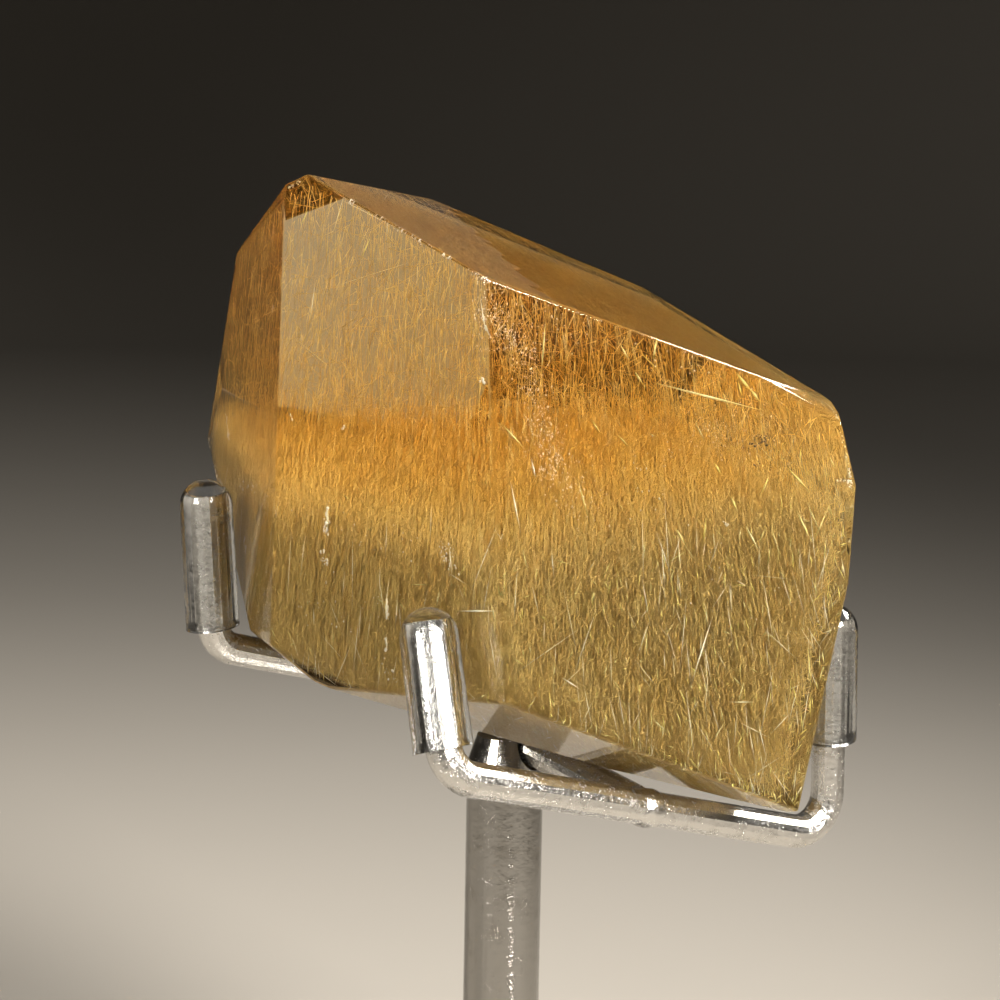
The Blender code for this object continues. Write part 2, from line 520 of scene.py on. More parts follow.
    def absorb(self, tint: tuple[float, float, float], density: float) -> None:
        """Tint what passes through the inside.

        Args:
            tint: The colour that is let through.
            density: How strongly the rest is absorbed, to the metre.
        """
        made = self.node("ShaderNodeVolumeAbsorption")
        made.inputs["Color"].default_value = (*tint, 1.0)
        made.inputs["Density"].default_value = density
        self.link(made.outputs["Volume"], self.output.inputs["Volume"])

    def bump(self, height: bpy.types.NodeSocket, depth_mm: float) -> None:
        """Raise the surface by a pattern.

        Args:
            height: The pattern.
            depth_mm: Its full height in mm.
        """
        made = self.node("ShaderNodeBump")
        made.inputs["Strength"].default_value = 1.0
        made.inputs["Distance"].default_value = depth_mm * MM
        self.link(height, made.inputs["Height"])
        previous = self.shader.inputs["Normal"].links
        if previous:
            self.link(previous[0].from_socket, made.inputs["Normal"])
        self.link(made.outputs["Normal"], self.shader.inputs["Normal"])


@dataclass(frozen=True)
class GoldenQuartz:
    """Polished golden quartz: clear, tinted by depth, with faint polishing waves and smears.

    Args:
        tint: The colour that the stone lets through.
        density: How strongly it absorbs the rest, to the metre.
        polish: The roughness of its best polished places.
    """

    tint: tuple[float, float, float] = (0.91, 0.67, 0.12)
    density: float = 38.0
    polish: float = 0.006

    def build(self) -> bpy.types.Material:
        """Build the material.

        Returns:
            The material.
        """
        recipe = Recipe("golden_quartz")
        recipe.set(Base_Color=(1.0, 0.985, 0.95, 1.0), Transmission_Weight=1.0, IOR=QUARTZ_IOR)
        smears = recipe.spread(recipe.noise(0.35, 5.0), self.polish, self.polish * 2.5, 0.35, 0.7)
        recipe.gloss(smears)
        recipe.bump(recipe.noise(0.10, 2.0), 0.02)
        recipe.absorb(self.tint, self.density)
        return recipe.material


@dataclass(frozen=True)
class Rutile:
    """Rutile threads: a gold that shifts along and between the needles.

    Args:
        name: The material's name.
        dark: Its darkest tone.
        light: Its lightest tone.
        metallic: How metallic it is.
        roughness: How rough it is in the middle of its range.
        patches: How strongly the tone changes from one streaky patch to the next.
    """

    name: str
    dark: tuple[float, float, float]
    light: tuple[float, float, float]
    metallic: float
    roughness: float = 0.34
    patches: float = 0.0

    def build(self) -> bpy.types.Material:
        """Build the material.

        Returns:
            The material.
        """
        recipe = Recipe(self.name)
        along = recipe.spread(recipe.noise(1.6, 3.0), -0.2, 0.2, 0.3, 0.7)
        streaks = recipe.noise(1.0, 3.0, 0.6, recipe.stretched((0.42, 0.42, 0.07)))
        patches = recipe.spread(streaks, -self.patches, self.patches, 0.38, 0.62)
        share = recipe.math("ADD", recipe.math("ADD", recipe.attribute("tone"), along), patches)
        recipe.colour(recipe.blend(share, self.dark, self.light))
        recipe.set(Metallic=self.metallic, IOR=RUTILE_IOR)
        recipe.gloss(recipe.spread(recipe.noise(4.0, 2.0), self.roughness * 0.7, self.roughness * 1.3))
        recipe.bump(recipe.noise(9.0, 2.0), 0.01)
        return recipe.material


@dataclass(frozen=True)
class Fleck:
    """Pale or dark specks and veils inside the stone.

    Args:
        name: The material's name.
        dull: Its darkest tone.
        bright: Its lightest tone.
    """

    name: str
    dull: tuple[float, float, float]
    bright: tuple[float, float, float]

    def build(self) -> bpy.types.Material:
        """Build the material.

        Returns:
            The material.
        """
        recipe = Recipe(self.name)
        mottle = recipe.spread(recipe.noise(3.0, 3.0), -0.3, 0.3, 0.35, 0.65)
        share = recipe.math("ADD", recipe.attribute("tone"), mottle)
        recipe.colour(recipe.blend(share, self.dull, self.bright))
        recipe.gloss(recipe.spread(recipe.noise(6.0, 2.0), 0.25, 0.55))
        recipe.bump(recipe.noise(8.0, 2.0), 0.02)
        return recipe.material


@dataclass(frozen=True)
class ClearVinyl:
    """Soft clear vinyl, a little cloudy and scuffed.

    Args:
        tint: The colour that it lets through.
        density: How strongly it absorbs the rest, to the metre.
    """

    tint: tuple[float, float, float] = (0.86, 0.89, 0.90)
    density: float = 60.0

    def build(self) -> bpy.types.Material:
        """Build the material.

        Returns:
            The material.
        """
        recipe = Recipe("clear_vinyl")
        recipe.set(Base_Color=(0.97, 0.98, 0.985, 1.0), Transmission_Weight=1.0, IOR=VINYL_IOR)
        recipe.gloss(recipe.spread(recipe.noise(1.2, 5.0), 0.03, 0.16, 0.4, 0.75))
        recipe.bump(recipe.noise(0.8, 4.0), 0.05)
        recipe.absorb(self.tint, self.density)
        return recipe.material


@dataclass(frozen=True)
class PlatedMetal:
    """Bright plated steel with stains, fine pits and drawn streaks.

    Args:
        name: The material's name.
        bright: The clean plating's colour; on the post it is darkened as painted shade.
        stained: The colour of its stains and pits.
        smooth: The roughness of its smoothest streaks.
        rough: The roughness of its dullest streaks.
        pit_depth: How deep its pits are, in mm.
        streaks: How the streaks are stretched on each axis.
    """

    name: str
    bright: tuple[float, float, float]
    stained: tuple[float, float, float] = (0.46, 0.42, 0.36)
    smooth: float = 0.10
    rough: float = 0.34
    pit_depth: float = 0.03
    streaks: tuple[float, float, float] = (1.0, 1.0, 1.0)

    def build(self) -> bpy.types.Material:
        """Build the material.

        Returns:
            The material.
        """
        recipe = Recipe(self.name)
        recipe.set(Metallic=1.0)
        stains = recipe.noise(0.5, 6.0, 0.62)
        pits = recipe.spread(recipe.cells(5.5), 1.0, 0.0, 0.05, 0.22)
        patches = recipe.spread(stains, 0.0, 1.0, 0.52, 0.72)
        specks = recipe.math("MULTIPLY", pits, recipe.spread(stains, 0.0, 1.0, 0.45, 0.62))
        share = recipe.math("MAXIMUM", recipe.math("MULTIPLY", patches, 0.45), specks)
        recipe.colour(recipe.blend(share, self.bright, self.stained))
        drawn = recipe.noise(3.0, 4.0, 0.6, recipe.stretched(self.streaks))
        gloss = recipe.spread(drawn, self.smooth, self.rough, 0.3, 0.8)
        recipe.gloss(recipe.math("ADD", gloss, recipe.math("MULTIPLY", patches, 0.12)))
        recipe.bump(drawn, 0.012)
        recipe.bump(recipe.noise(1.4, 5.0, 0.65), self.pit_depth * 1.5)
        recipe.bump(specks, -self.pit_depth)
        return recipe.material


@dataclass(frozen=True)
class PalePaper:
    """The plain pale floor."""

    colour: tuple[float, float, float] = (0.20, 0.184, 0.160)

    def build(self) -> bpy.types.Material:
        """Build the material.

        Returns:
            The material.
        """
        recipe = Recipe("pale_floor")
        share = recipe.noise(0.02, 3.0)
        darker = tuple(part * 0.97 for part in self.colour)
        recipe.colour(recipe.blend(share, darker, self.colour))
        recipe.set(Roughness=0.9)
        return recipe.material


# The stone
@dataclass(frozen=True)
class WornEdge:
    """An edge of the stone that is rolled off more and more towards one end.

    Args:
        first: The way that the flat towards the viewer faces.
        second: The way that the flat past the edge faces.
        start: Column and row in the picture where the roll begins.
        end: Column and row where it is widest.
        drop: How far it reaches down the first flat at its widest, in mm.
        steps: How many cuts round it off.
    """

    first: tuple[float, float, float]
    second: tuple[float, float, float]
    start: tuple[float, float]
    end: tuple[float, float]
    drop: float
    steps: int


@dataclass
class Stone:
    """The ground and polished block.

    Args:
        space: Its inside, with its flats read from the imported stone.
        block_side: The side of the rough block in metres.
        edge_width: Width of the softened edges in metres.
        edge_steps: Rows of faces round a softened edge.
        worn: The edges that are rolled off further.
    """

    space: StoneSpace
    block_side: float = 140.0 * MM
    edge_width: float = 0.24 * MM
    edge_steps: int = 3
    worn: tuple[WornEdge, ...] = (
        WornEdge((0.40, -0.90, 0.17), (0.38, -0.10, 0.92), (735, 364), (838, 406), 1.9, 7),
    )

    def build(self) -> None:
        """Grind a block to its flats, soften its edges and roll the worn ones off."""
        low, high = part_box("quartz")
        deselect_everything()
        bpy.ops.mesh.primitive_cube_add(size=self.block_side, location=(low + high) / 2)
        stone = bpy.context.object
        settle(stone)
        bpy.ops.object.mode_set(mode="EDIT")
        for flat in self.space.facets:
            self._grind(flat.normal * flat.distance, flat.normal)
        bpy.ops.mesh.select_all(action="SELECT")
        bpy.ops.mesh.bevel(offset=self.edge_width, segments=self.edge_steps, profile=0.5, affect="EDGES")
        for edge in self.worn:
            self._roll(edge)
        bpy.ops.object.mode_set(mode="OBJECT")
        bpy.ops.object.shade_smooth()
        even = stone.modifiers.new("even flats", "WEIGHTED_NORMAL")
        even.weight = 100
        even.keep_sharp = True
        apply_modifiers(stone)
        dress(stone, GoldenQuartz().build())
        finish_piece(stone, "rutilated_quartz", ("quartz",))

    def _grind(self, point: Vector, normal: Vector) -> None:
        """Cut everything past one plane away and close the cut."""
        bpy.ops.mesh.select_all(action="SELECT")
        bpy.ops.mesh.bisect(plane_co=point, plane_no=normal, use_fill=True, clear_outer=True)

    def _roll(self, edge: WornEdge) -> None:
        """Round one edge off with a fan of narrow cuts.

        Args:
            edge: Which edge, from where to where, and how far.
        """
        first, second = self.space.flat_facing(edge.first), self.space.flat_facing(edge.second)
        start = self.space.edge_point(first, second, *edge.start)
        end = self.space.edge_point(first, second, *edge.end)
        down = first.normal.cross(end - start).normalized()
        down = -down if down.dot(second.normal) > 0 else down
        whole = first.normal.angle(second.normal)
        for step in range(edge.steps):
            turn = whole * (step + 0.5) / edge.steps
            reach = 1.0 - math.tan(turn / 2) / math.tan(whole / 2)
            line = (end + down * (edge.drop * MM * reach) - start).normalized()
            wish = first.normal * math.sin(whole - turn) + second.normal * math.sin(turn)
            self._grind(start, (wish - line * wish.dot(line)).normalized())


# What the stone holds
def join_copies(name: str, places: np.ndarray, faces: np.ndarray, tones: np.ndarray,
                finish: bpy.types.Material) -> None:
    """Join the copies of one small mesh in one smooth-shaded piece.

    Args:
        name: The piece's name.
        places: The corners of each copy, one row each.
        faces: The triangles of one copy, as rows of three corner numbers.
        tones: From 0 for dark to 1 for light, a number for each copy.
        finish: Its material.
    """
    copies, each = places.shape[:2]
    triangles = (faces[None, :, :] + (np.arange(copies) * each)[:, None, None]).reshape(-1, 3)
    mesh = bpy.data.meshes.new(name)
    mesh.vertices.add(copies * each)
    mesh.vertices.foreach_set("co", places.astype(np.float32).ravel())
    mesh.loops.add(len(triangles) * 3)
    mesh.loops.foreach_set("vertex_index", triangles.astype(np.int32).ravel())
    mesh.polygons.add(len(triangles))
    mesh.polygons.foreach_set("loop_start", np.arange(0, len(triangles) * 3, 3, dtype=np.int32))
    mesh.update(calc_edges=True)
    tone = mesh.attributes.new("tone", "FLOAT", "POINT")
    tone.data.foreach_set("value", tones.repeat(each).astype(np.float32))
    mesh.shade_smooth()
    piece = bpy.data.objects.new(name, mesh)
    bpy.context.scene.collection.objects.link(piece)
    dress(piece, finish)
    finish_piece(piece, name)


@dataclass(frozen=True)
class ClearCorner:
    """The clear upper right corner, cut off from the needles by a hidden seam.

    Args:
        point: A point on the seam, in metres.
        normal: Its direction, into the clear corner.
        share: The share of needles that is kept past it.
        soft: How gradually they thin out, in metres.
    """

    point: Vector
    normal: Vector
    share: float = 0.03
    soft: float = 1.2 * MM

    def keep(self, places: np.ndarray) -> np.ndarray:
        """Return the chance that a needle at each place is kept."""
        past = (places - np.array(self.point)) @ np.array(self.normal)
        return 1.0 - (1.0 - self.share) * np.clip(past / self.soft + 0.5, 0.0, 1.0)


class NeedleShape(Enum):
    """How a needle's ends are modelled."""

    SPLINTER = "pointed at one end"
    SPINDLE = "pointed at both ends"


def model_needle(sides: int, shape: NeedleShape) -> tuple[np.ndarray, np.ndarray]:
    """Model one needle with the mesh tools.

    Args:
        sides: Sides of its section.
        shape: How its ends are modelled.

    Returns:
        Its corners, on a unit radius and from -1 to 1 along, and its triangles.
    """
    both = shape is NeedleShape.SPINDLE
    deselect_everything()
    bpy.ops.mesh.primitive_cone_add(vertices=sides, radius1=1.0, radius2=0.0, depth=2.0,
                                    end_fill_type="NOTHING" if both else "NGON")
    needle = bpy.context.object
    edit_whole()
    if both:
        bpy.ops.mesh.duplicate()
        bpy.ops.transform.resize(value=(1.0, 1.0, -1.0), center_override=(0.0, 0.0, -1.0))
        bpy.ops.mesh.select_all(action="SELECT")
        bpy.ops.mesh.remove_doubles(threshold=0.01)
        bpy.ops.transform.resize(value=(1.0, 1.0, 0.5), center_override=(0.0, 0.0, 1.0))
    bpy.ops.mesh.normals_make_consistent(inside=False)
    bpy.ops.mesh.quads_convert_to_tris()
    return take_mesh(needle)


@dataclass(frozen=True)
class Swarm:
    """A crowd of straight rutile needles.

    Args:
        name: The piece's name.
        count: How many there are.
        radius: Thinnest and thickest, in mm.
        length: Shortest and longest, in mm.
        lean: How far they lean from the fan's direction, in degrees.
        stray: The share that lies in any direction.
        sides: Sides of a needle's section.
        shape: How a needle's ends are modelled.
        seed: Start of its random draws.
        skin: How deep under the flats they begin, in mm.
        reach_in: How deep under the flats they lie at most, in mm.
        gather: How strongly they gather at the right and under the top, from 0 to 1.
        draws: Places tried in the stone's box for each needle.
        widest: How far strays turn aside at most, as a slope.
    """

    name: str
    count: int
    radius: tuple[float, float]
    length: tuple[float, float]
    lean: float
    stray: float
    sides: int
    shape: NeedleShape
    seed: int
    skin: float = 0.8
    reach_in: float = 40.0
    gather: float = 0.0
    draws: int = 12
    widest: float = 3.0

    def strew(self, space: StoneSpace, focus: Vector,
              thin_out: ClearCorner) -> tuple[np.ndarray, np.ndarray]:
        """Place the needles' ends inside the stone.

        Args:
            space: The stone's inside.
            focus: The point that the fan of needles spreads from.
            thin_out: The clear corner, where few needles are kept.

        Returns:
            The two ends of each needle.
        """
        rng = np.random.default_rng(self.seed)
        low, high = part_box("quartz")
        middles = rng.uniform(np.array(low), np.array(high), (self.count * self.draws, 3))
        depth = space.depth(middles)
        middles = middles[(depth > self.skin * MM) & (depth < self.reach_in * MM)]
        chance = thin_out.keep(middles) * (1.0 - self.gather * (1.0 - self.crowding(space, middles)))
        middles = middles[rng.uniform(size=len(middles)) < chance][: self.count]
        number = len(middles)
        fan = middles - np.array(focus)
        fan /= np.linalg.norm(fan, axis=1)[:, None]
        any_way = rng.normal(size=(number, 3))
        any_way /= np.linalg.norm(any_way, axis=1)[:, None]
        spread = math.tan(math.radians(self.lean)) * np.abs(rng.normal(size=number))
        wild = rng.uniform(size=number) < self.stray
        spread = np.where(wild, self.widest * rng.uniform(size=number), spread)
        way = fan + any_way * spread[:, None]
        way /= np.linalg.norm(way, axis=1)[:, None]
        shortest, longest = self.length
        reach = (shortest + (longest - shortest) * rng.beta(1.3, 3.0, number)) * MM / 2
        return space.clip(middles - way * reach[:, None], middles + way * reach[:, None], self.skin * MM)

    def crowding(self, space: StoneSpace, places: np.ndarray) -> np.ndarray:
        """Rate how crowded places are: most at the right and close under the top flat.

        Args:
            space: The stone's inside.
            places: The places, one row each.

        Returns:
            A number for each, from 0 to 1.
        """
        left_end, width, top_depth = -10.0 * MM, 22.0 * MM, 11.0 * MM
        to_right = np.clip((places[:, 0] - left_end) / width, 0.0, 1.0)
        top = space.flat_facing((0.0, 0.0, 1.0))
        under_top = top.distance - places @ np.array(top.normal)
        near_top = np.clip(1.0 - under_top / top_depth, 0.0, 1.0)
        return np.maximum(to_right, near_top)

    def build(self, space: StoneSpace, focus: Vector, thin_out: ClearCorner,
              finish: bpy.types.Material) -> None:
        """Make the whole swarm one mesh.

        Args:
            space: The stone's inside.
            focus: The point that the fan of needles spreads from.
            thin_out: The clear corner, where few needles are kept.
            finish: Its material.
        """
        starts, ends = self.strew(space, focus, thin_out)
        rng = np.random.default_rng(self.seed + 1)
        thin, thick = self.radius
        radii = (thin + (thick - thin) * rng.beta(1.5, 3.0, len(starts))) * MM
        lay_needles(self.name, starts, ends, radii, model_needle(self.sides, self.shape), finish)


def lay_needles(name: str, starts: np.ndarray, ends: np.ndarray, radii: np.ndarray,
                needle: tuple[np.ndarray, np.ndarray], finish: bpy.types.Material) -> None:
    """Lay a copy of one needle along each run and join them in one mesh.

    Args:
        name: The piece's name.
        starts: First ends, one row each.
        ends: Second ends, one row each.
        radii: Each needle's radius in metres.
        needle: Corners and triangles of the needle that is copied.
        finish: Its material.
    """
    corners, faces = needle
    run = ends - starts
    way = run / np.linalg.norm(run, axis=1)[:, None]
    helper = np.where(np.abs(way[:, 2:3]) < 0.9, [[0.0, 0.0, 1.0]], [[1.0, 0.0, 0.0]])
    side = np.cross(way, helper)
    side /= np.linalg.norm(side, axis=1)[:, None]
    other = np.cross(way, side)
    places = starts[:, None, :] + run[:, None, :] * (corners[None, :, 2:3] + 1.0) / 2.0
    places = places + side[:, None, :] * (corners[None, :, 0:1] * radii[:, None, None])
    places = places + other[:, None, :] * (corners[None, :, 1:2] * radii[:, None, None])
    tones = np.random.default_rng(len(starts)).beta(1.1, 1.6, len(starts))
    join_copies(name, places, faces, tones, finish)


@dataclass(frozen=True)
class Crumbs:
    """Irregular crumbs strewn along a line seen in the picture.

    Args:
        path: Columns and rows that the line passes through, in pixels.
        depth: How deep past the surface they lie, in mm.
        count: How many there are.
        size: Smallest and largest radius, in mm.
        spread: How far they stray from the line, in mm.
        stretch: How much taller than wide they are.
    """

    path: tuple[tuple[float, float], ...]
    depth: float
    count: int
    size: tuple[float, float]
    spread: float
    stretch: float = 1.0

    def strew(self, space: StoneSpace, rng: np.random.Generator) -> tuple[np.ndarray, np.ndarray]:
        """Place the crumbs along their line.

        Args:
            space: The stone's inside.
            rng: The source of random draws.

        Returns:
            Their middles and their three half sizes, those that don't fit inside left out.
        """
        knots = np.array([space.seen_at(*place, self.depth) for place in self.path])
        along = rng.uniform(0.0, len(knots) - 1.001, self.count)
        step = along.astype(int)
        after = np.minimum(step + 1, len(knots) - 1)
        middles = knots[step] + (knots[after] - knots[step]) * (along - step)[:, None]
        middles = middles + rng.normal(size=(self.count, 3)) * (self.spread * MM)
        small, large = self.size
        sizes = (small + (large - small) * rng.beta(1.2, 3.0, self.count))[:, None] * MM
        sizes = sizes * rng.uniform(0.6, 1.4, (self.count, 3)) * np.array([1.0, 1.0, self.stretch])
        inside = space.depth(middles) > sizes.max(axis=1) + CRUMB_COVER
        return middles[inside], sizes[inside]


def lay_crumbs(name: str, groups: tuple[Crumbs, ...], space: StoneSpace, seed: int,
               finish: bpy.types.Material) -> None:
    """Model one crumb, lay turned copies of it and join them in one mesh.

    Args:
        name: The piece's name.
        groups: Where the crumbs lie.
        space: The stone's inside.
        seed: Start of the random draws.
        finish: Its material.
    """
    deselect_everything()
    bpy.ops.mesh.primitive_ico_sphere_add(subdivisions=1, radius=1.0)
    crumb = bpy.context.object
    edit_whole()
    bpy.ops.transform.vertex_random(offset=0.25, seed=seed)
    corners, faces = take_mesh(crumb)
    rng = np.random.default_rng(seed)
    strewn = [group.strew(space, rng) for group in groups]
    middles = np.concatenate([each[0] for each in strewn])
    sizes = np.concatenate([each[1] for each in strewn])
    turns = rng.uniform(0.0, 2.0 * math.pi, len(middles))
    cosine, sine = np.cos(turns)[:, None], np.sin(turns)[:, None]
    flat = corners[None, :, :] * sizes[:, None, :]
    turned = np.stack((flat[:, :, 0] * cosine - flat[:, :, 1] * sine,
                       flat[:, :, 0] * sine + flat[:, :, 1] * cosine, flat[:, :, 2]), axis=2)
    tones = rng.uniform(0.0, 1.0, len(middles))
    join_copies(name, middles[:, None, :] + turned, faces, tones, finish)


@dataclass(frozen=True)
class SeenNeedles:
    """Single needles set where the picture shows them.

    Args:
        name: The piece's name.
        runs: First column and row, last column and row, and radius in mm of each.
        depth: Shallowest and deepest place past the surface, in mm.
        seed: Start of the random draws.
        dip: How much deeper or shallower one end lies than the other at most, in mm.
        swell: How much thicker they are modelled than they are given.
        sides: Sides of a needle's section.
    """

    name: str
    runs: tuple[tuple[float, float, float, float, float], ...]
    depth: tuple[float, float]
    seed: int
    dip: float = 0.3
    swell: float = 1.2
    sides: int = 5

    def build(self, space: StoneSpace, finish: bpy.types.Material) -> None:
        """Make them one mesh.

        Args:
            space: The stone's inside.
            finish: Their material.
        """
        rng = random.Random(self.seed)
        starts, ends = [], []
        for column, row, last_column, last_row, _ in self.runs:
            deep = rng.uniform(*self.depth)
            starts.append(space.seen_at(column, row, deep))
            ends.append(space.seen_at(last_column, last_row, deep + rng.uniform(-self.dip, self.dip)))
        radii = np.array([run[4] for run in self.runs]) * (self.swell * MM)
        needle = model_needle(self.sides, NeedleShape.SPINDLE)
        lay_needles(self.name, np.array(starts), np.array(ends), radii, needle, finish)


GOLD_RUNS = (
    (651, 382, 769, 412, 0.085), (546, 317, 541, 377, 0.060), (501, 423, 525, 449, 0.070),
    (654, 334, 653, 360, 0.085), (619, 342, 630, 362, 0.060), (634, 370, 644, 386, 0.080),
    (591, 419, 601, 434, 0.060), (617, 434, 629, 447, 0.060), (736, 372, 752, 392, 0.120),
    (750, 388, 760, 402, 0.120), (738, 381, 742, 396, 0.070), (785, 465, 812, 494, 0.090),
    (796, 509, 812, 543, 0.090), (706, 517, 704, 541, 0.085), (745, 524, 759, 551, 0.080),
    (714, 462, 721, 474, 0.100), (577, 476, 590, 524, 0.050), (808, 643, 811, 691, 0.060),
    (308, 210, 301, 225, 0.060), (370, 238, 361, 259, 0.060), (730, 495, 738, 512, 0.110),
    (761, 495, 769, 476, 0.070), (675, 527, 686, 545, 0.080), (722, 390, 730, 412, 0.050),
    (694, 420, 706, 443, 0.050), (800, 462, 801, 448, 0.060), (812, 545, 830, 504, 0.045),
    (805, 497, 821, 535, 0.040), (770, 525, 782, 560, 0.040), (640, 352, 660, 372, 0.040),
)
WHITE_RUNS = (
    (510, 479, 521, 534, 0.060), (531, 457, 536, 479, 0.060), (714, 612, 690, 688, 0.060),
    (729, 702, 755, 702, 0.055), (457, 611, 496, 611, 0.080), (561, 677, 580, 689, 0.050),
    (387, 595, 386, 619, 0.110), (386, 636, 387, 650, 0.090), (327, 503, 328, 532, 0.110),
    (660, 384, 730, 402, 0.060), (449, 546, 452, 575, 0.060), (480, 297, 487, 340, 0.050),
)
WHITE_FLECKS = (
    Crumbs(((273, 306), (272, 312)), 0.8, 7, (0.05, 0.16), 0.10, 1.6),
    Crumbs(((226, 416), (229, 440)), 0.8, 26, (0.05, 0.20), 0.25, 1.6),
    Crumbs(((291, 416), (292, 420)), 0.8, 5, (0.05, 0.14), 0.10, 1.5),
    Crumbs(((343, 424), (344, 428)), 0.8, 5, (0.05, 0.12), 0.10, 1.5),
    Crumbs(((482, 379), (483, 384)), 0.8, 8, (0.06, 0.18), 0.14, 1.4),
    Crumbs(((236, 483), (246, 487), (262, 484)), 0.9, 30, (0.05, 0.20), 0.30, 1.0),
    Crumbs(((328, 503), (326, 532)), 0.7, 22, (0.06, 0.20), 0.16, 1.8),
    Crumbs(((320, 553), (328, 564)), 0.7, 14, (0.06, 0.20), 0.18, 1.4),
    Crumbs(((387, 595), (387, 619)), 0.6, 16, (0.05, 0.16), 0.08, 2.0),
    Crumbs(((386, 638), (387, 650)), 0.6, 9, (0.05, 0.15), 0.08, 1.8),
    Crumbs(((244, 540), (246, 552)), 0.8, 14, (0.06, 0.22), 0.16, 1.6),
    Crumbs(((441, 546), (446, 556), (454, 575)), 0.7, 34, (0.04, 0.13), 0.35, 1.3),
    Crumbs(((349, 202), (352, 206)), 0.7, 6, (0.05, 0.12), 0.10),
    Crumbs(((285, 585), (345, 620), (390, 600)), 0.9, 70, (0.03, 0.11), 1.40, 1.5),
    Crumbs(((300, 520), (360, 540), (420, 560)), 0.9, 60, (0.03, 0.10), 1.80, 1.5),
    Crumbs(((380, 660), (392, 680)), 0.7, 26, (0.04, 0.14), 0.40),
    Crumbs(((724, 523), (728, 526)), 0.6, 8, (0.06, 0.16), 0.12),
    Crumbs(((640, 350), (700, 365), (660, 390)), 0.7, 34, (0.04, 0.12), 1.00),
    Crumbs(((690, 440), (660, 470), (650, 520)), 0.8, 60, (0.03, 0.10), 1.60, 1.3),
    Crumbs(((560, 330), (520, 300), (600, 330)), 0.7, 60, (0.03, 0.10), 1.00, 1.2),
    Crumbs(((700, 560), (760, 600), (800, 640)), 0.8, 60, (0.03, 0.10), 2.20, 1.3),
)
EDGE_CHIPS = (
    Crumbs(((371, 211), (400, 226), (440, 250), (470, 268), (489, 281)), 0.15, 420, (0.03, 0.12), 0.10),
    Crumbs(((489, 281), (560, 306), (640, 334), (744, 372)), 0.15, 220, (0.02, 0.07), 0.05),
    Crumbs(((838, 412), (846, 445), (853, 484)), 0.12, 520, (0.04, 0.16), 0.12, 1.3),
    Crumbs(((846, 478), (852, 486)), 0.15, 60, (0.04, 0.16), 0.30),
    Crumbs(((208, 440), (211, 468)), 0.20, 160, (0.05, 0.20), 0.18),
    Crumbs(((210, 462), (218, 482), (223, 492)), 0.25, 220, (0.06, 0.26), 0.30),
    Crumbs(((287, 188), (300, 180)), 0.15, 70, (0.04, 0.12), 0.10),
)
VEIL = (
    Crumbs(((485, 278), (500, 330), (530, 352), (540, 425), (560, 480)), 1.2, 700, (0.02, 0.07), 0.80,
           1.8),
    Crumbs(((540, 420), (556, 470), (600, 520)), 1.4, 320, (0.02, 0.07), 1.20, 1.8),
    Crumbs(((705, 440), (730, 430), (790, 420)), 1.4, 260, (0.02, 0.07), 1.20, 1.4),
)
SMUDGE = (
    Crumbs(((752, 445), (762, 440), (770, 436)), 1.0, 26, (0.05, 0.16), 0.22),
    Crumbs(((756, 464), (762, 470)), 1.4, 8, (0.04, 0.10), 0.18),
)


